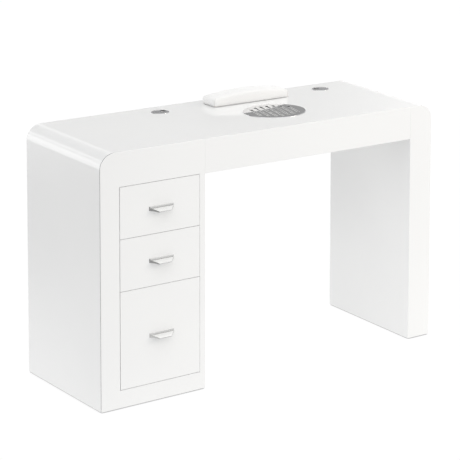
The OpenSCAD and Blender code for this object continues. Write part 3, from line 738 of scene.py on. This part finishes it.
# ---------------------------------------------------------------- rigid hardware keeps its CAD mesh
HARD = {
    "dust_grille": (0.0004, 3), "outlet_sleeves": (0.0003, 2), "outlet_cap_left": (0.0005, 3), "outlet_cap_right": (0.0005, 3),
    "top_drawer_pull": (0.0005, 3), "middle_drawer_pull": (0.0005, 3), "bottom_drawer_pull": (0.0005, 3),
    "collector_bowl": (0.0006, 2), "fan_frame": (0.0008, 2), "fan_rotor": (0.0003, 2), "switch_housing": (0.0005, 2),
    "switch_rocker": (0.0005, 2), "power_inlet": (0.0005, 2), "hand_rest_board": (0.0008, 2), "battens": (0.0006, 2),
    "angle_brackets": (0.0003, 2), "floor_glides": (0.0005, 2), "dust_filter": (0.001, 2), "hand_rest_feet": (0.0006, 2),
    "underside_panel": (0.0, 0), "left_side_panel": (0.0, 0), "leg_outer_panel": (0.0, 0), "leg_inner_panel": (0.0, 0),
    "pedestal_inner_panel": (0.0, 0), "pedestal_right_panel": (0.0, 0), "pedestal_base": (0.0, 0),
    "pedestal_top_board": (0.0005, 2), "top_panel": (0.0, 0), "dowels": (0.0005, 2), "carcass_screws": (0.0, 0),
    "wiring": (0.0, 0), "fan_stator": (0.0003, 2), "slide_cabinet_members": (0.0003, 2),
}
for d in ("top", "middle", "bottom"):
    HARD[d + "_drawer_box"] = (0.0006, 2)
    HARD[d + "_drawer_bottom"] = (0.0004, 2)
    HARD[d + "_drawer_screws"] = (0.0, 0)
    HARD[d + "_drawer_slide_inner"] = (0.0003, 2)
    HARD[d + "_drawer_slide_middle"] = (0.0003, 2)
for name, (w, s) in HARD.items():
    finish_hard(nodes[name], w, s)

# ---------------------------------------------------------------- floor and studio light
LOW = [0.91, 0.89, 0.67, 0.49, 0.51, 0.28, 0.93, 1.9, 0.6, 0.35, 0.46, 0.67]  # round the horizon, every 30 degrees from the front
MID = [1.0, 1.22, 0.36, 0.43, 0.85, 0.48]  # half way up, every 60 degrees from the front
FAR = [1.08, 0.41, 0.78, 0.08, 0.36, 0.79]  # the floor further out, every 60 degrees from the front
TOP, NEAR, BOX, CARD, KEY = 1.39, 0.99, 2.25, 0.36, 29.5


def ring(t, name, vec, values):
    """A smooth strength round the compass, one value at equal steps, starting and ending at the front."""
    sep = add(t, "ShaderNodeSeparateXYZ", {0: vec})
    az = calc(t, "ARCTAN2", sep.outputs[0], sep.outputs[1])
    f = span(t, az, -math.pi, math.pi, 0.0, 1.0)
    n = add(t, "ShaderNodeValToRGB", {0: f}, name=name)
    n.color_ramp.interpolation = "EASE"
    e = n.color_ramp.elements
    loop = list(values) + [values[0]]
    while len(e) < len(loop):
        e.new(0.5)
    for k, v in enumerate(loop):
        e[k].position = k / (len(loop) - 1)
        e[k].color = (v / 4, v / 4, v / 4, 1)
    return calc(t, "MULTIPLY", n.outputs[0], 4.0)


def blend(t, f, a, b):
    n = add(t, "ShaderNodeMix", data_type="FLOAT")
    put(t, n.inputs[0], f)
    put(t, n.inputs[2], a)
    put(t, n.inputs[3], b)
    return n.outputs[0]


def named(t, name, value):
    n = add(t, "ShaderNodeValue", name=name)
    n.outputs[0].default_value = value
    return n.outputs[0]


def floor():
    me = bpy.data.meshes.new("floor")
    s = 30.0
    me.from_pydata([(-s, -s, 0), (s, -s, 0), (s, s, 0), (-s, s, 0)], [], [(0, 1, 2, 3)])
    o = bpy.data.objects.new("floor", me)
    scene.collection.objects.link(o)
    m = bpy.data.materials.new("pale_studio_floor")
    m.use_nodes = True
    t = m.node_tree
    t.nodes.clear()
    path = add(t, "ShaderNodeLightPath")
    # the floor the camera sees glows white, with a painted contact shadow where ambient occlusion finds the table near
    ao = add(t, "ShaderNodeAmbientOcclusion", {"Distance": 0.035}, samples=16)
    seen = add(t, "ShaderNodeEmission", {"Color": (1, 1, 1, 1), "Strength": span(t, ao.outputs["AO"], 0.05, 0.68, 0.5, 1.02, True)})
    pos = add(t, "ShaderNodeNewGeometry").outputs["Position"]
    d = add(t, "ShaderNodeVectorMath", {0: pos}, operation="LENGTH").outputs["Value"]
    soft = add(t, "ShaderNodeTexNoise", {"Vector": pos, "Scale": 0.7, "Detail": 1.0}).outputs["Fac"]
    glow = blend(t, span(t, d, 0.6, 2.2, 0, 1, True), named(t, "near", NEAR), ring(t, "far", pos, FAR))
    glow = calc(t, "MULTIPLY", glow, span(t, soft, 0.3, 0.7, 0.98, 1.02))
    # the soft box's light washes the far floor behind on the left
    sep = add(t, "ShaderNodeSeparateXYZ", {0: pos})
    az = calc(t, "MULTIPLY", calc(t, "ARCTAN2", sep.outputs[0], sep.outputs[1]), 180 / math.pi)
    wash = calc(t, "MULTIPLY", span(t, az, -75, -55, 0, 1, True), span(t, az, -12, 2, 1, 0, True))
    wash = calc(t, "MULTIPLY", wash, span(t, d, 2.7, 5.5, 0, 0.8, True))
    glow = calc(t, "ADD", glow, calc(t, "MULTIPLY", wash, named(t, "box", BOX)))
    hidden = add(t, "ShaderNodeEmission", {"Color": (1, 1, 1, 1), "Strength": glow})
    mix = add(t, "ShaderNodeMixShader", {0: path.outputs["Is Camera Ray"], 1: hidden.outputs[0], 2: seen.outputs[0]})
    add(t, "ShaderNodeOutputMaterial", {"Surface": mix.outputs[0]})
    me.materials.append(m)


floor()


def profile(t, f, stops):
    """A smooth curve through (degrees, value) stops, over 0 to 120 degrees."""
    n = add(t, "ShaderNodeValToRGB", {0: f})
    n.color_ramp.interpolation = "EASE"
    e = n.color_ramp.elements
    while len(e) < len(stops):
        e.new(0.5)
    for k, (d, v) in enumerate(stops):
        e[k].position = d / 120
        e[k].color = (v, v, v, 1)
    return n.outputs[0]


def surround():
    w = bpy.data.worlds.new("studio")
    scene.world = w
    w.use_nodes = True
    t = w.node_tree
    t.nodes.clear()
    v = add(t, "ShaderNodeTexCoord").outputs["Generated"]
    sep = add(t, "ShaderNodeSeparateXYZ", {0: v})
    x, y, z = sep.outputs[0], sep.outputs[1], sep.outputs[2]
    b = blend(t, span(t, z, 0.22, 0.5, 0, 1, True), ring(t, "low", v, LOW), ring(t, "mid", v, MID))
    b = blend(t, span(t, z, 0.62, 0.92, 0, 1, True), b, named(t, "top", TOP))
    # a grey card low behind, which the table top and the grille mirror
    az = calc(t, "MULTIPLY", calc(t, "ARCTAN2", x, y), 180 / math.pi)
    el = calc(t, "MULTIPLY", calc(t, "ARCSINE", z), 180 / math.pi)
    m = calc(t, "MULTIPLY", span(t, az, 18, 23, 0, 1, True), span(t, az, 31.5, 40, 1, 0, True))
    m = calc(t, "MULTIPLY", m, span(t, el, 7, 9.5, 0, 1, True))
    m = calc(t, "MULTIPLY", m, span(t, el, 19, 23, 1, 0, True))
    b = blend(t, m, b, named(t, "card", CARD))
    # a soft box high on the right
    dot = add(t, "ShaderNodeVectorMath", {0: v, 1: tuple(Vector((0.46, 0.5, 0.735)).normalized())}, operation="DOT_PRODUCT").outputs["Value"]
    b = calc(t, "ADD", b, span(t, dot, math.cos(math.radians(25)), math.cos(math.radians(14)), 0, 0.34, True))
    # a tall soft box behind on the left, split by a bar, that the rounded corner mirrors, and a dark flag above it
    deg = calc(t, "MULTIPLY", calc(t, "ARCTAN2", calc(t, "MULTIPLY", x, -1.0), z), 180 / math.pi)
    m = calc(t, "MULTIPLY", span(t, deg, -26, -10, 0, 0.85, True), span(t, deg, 26, 42, 1, 0, True))
    m = calc(t, "MULTIPLY", m, span(t, y, 0.66, 0.76, 0, 1, True))
    b = blend(t, m, b, 0.2)
    m = profile(t, span(t, deg, 0, 120, 0, 1), [(0, 0), (38, 0), (45, 0.1), (50, 0.85), (55, 0.9), (61, 0.22), (66, 0.3), (73, 1), (88, 1), (97, 0.9), (105, 0.85), (120, 0.8)])
    m = calc(t, "MULTIPLY", m, span(t, y, 0.66, 0.72, 0, 1, True))
    m = calc(t, "MULTIPLY", m, span(t, y, 0.975, 0.985, 1, 0, True))
    b = calc(t, "ADD", b, calc(t, "MULTIPLY", m, named(t, "box", BOX)))
    bg = add(t, "ShaderNodeBackground", {"Color": (1, 1, 1, 1), "Strength": b})
    white = add(t, "ShaderNodeBackground", {"Color": (1, 1, 1, 1), "Strength": 1.0})
    path = add(t, "ShaderNodeLightPath")
    mix = add(t, "ShaderNodeMixShader", {0: path.outputs["Is Camera Ray"], 1: bg.outputs[0], 2: white.outputs[0]})
    add(t, "ShaderNodeOutputWorld", {"Surface": mix.outputs[0]})


surround()


def area(name, where, at, sx, sy, power):
    d = bpy.data.lights.new(name, "AREA")
    d.shape, d.size, d.size_y, d.energy = "RECTANGLE", sx, sy, power
    o = bpy.data.objects.new(name, d)
    scene.collection.objects.link(o)
    o.location = where
    o.rotation_mode = "QUATERNION"
    o.rotation_quaternion = (Vector(where) - Vector(at)).to_track_quat("Z", "Y")
    o.visible_camera = False
    return o


# the key stands on the right in front, a warm light a little above the table
area("key", (2.6, -2.6, 2.0), (0.1, 0, 0.5), 1.6, 1.2, KEY).data.color = (1.0, 0.94, 0.84)

# ---------------------------------------------------------------- camera
F, CX, CY = 2227.79972, 850.08929, -94.31756
AZ, EL, ROLL = 0.7978, -0.13155, 0.0382
EYE = Vector((-3.67541, -6.30995, 2.48784))
fwd = Vector((math.sin(AZ) * math.cos(EL), math.cos(AZ) * math.cos(EL), math.sin(EL)))
right = fwd.cross(Vector((0, 0, 1))).normalized()
up = right.cross(fwd)
r2 = right * math.cos(ROLL) + up * math.sin(ROLL)
u2 = up * math.cos(ROLL) - right * math.sin(ROLL)
cd = bpy.data.cameras.new("camera")
cam = bpy.data.objects.new("camera", cd)
scene.collection.objects.link(cam)
cam.matrix_world = Matrix(((r2.x, u2.x, -fwd.x, EYE.x), (r2.y, u2.y, -fwd.y, EYE.y), (r2.z, u2.z, -fwd.z, EYE.z), (0, 0, 0, 1)))
cd.sensor_width = 36.0
cd.lens = F * 36 / 460
cd.clip_start, cd.clip_end = 0.1, 100
scene.camera = cam


# The camera turns by its Euler angles. Its quaternion is idle at 2, and a view from elsewhere sets it to a unit one,
# which takes the lens shift away, so that such a view is centred.
cam.rotation_quaternion = (2, 0, 0, 0)


def shifted(path, value):
    fc = cd.driver_add(path)
    for m in list(fc.modifiers):
        fc.modifiers.remove(m)
    d = fc.driver
    d.type = "SUM"
    v = d.variables.new()
    v.name, v.type = "w", "SINGLE_PROP"
    v.targets[0].id_type = "OBJECT"
    v.targets[0].id = cam
    v.targets[0].data_path = "rotation_quaternion[0]"
    for x, k in ((1.2, 0.0), (1.8, value)):
        p = fc.keyframe_points.insert(x, k)
        p.interpolation = "LINEAR"
    fc.extrapolation = "CONSTANT"
    fc.update()


shifted("shift_x", (230 - CX) / 460)
shifted("shift_y", (CY - 230) / 460)

scene.view_settings.view_transform = "Standard"
scene.view_settings.look = "None"
scene.view_settings.exposure = 0.0
scene.view_settings.gamma = 1.0
scene.cycles.use_denoising = True
scene.cycles.max_bounces = 8
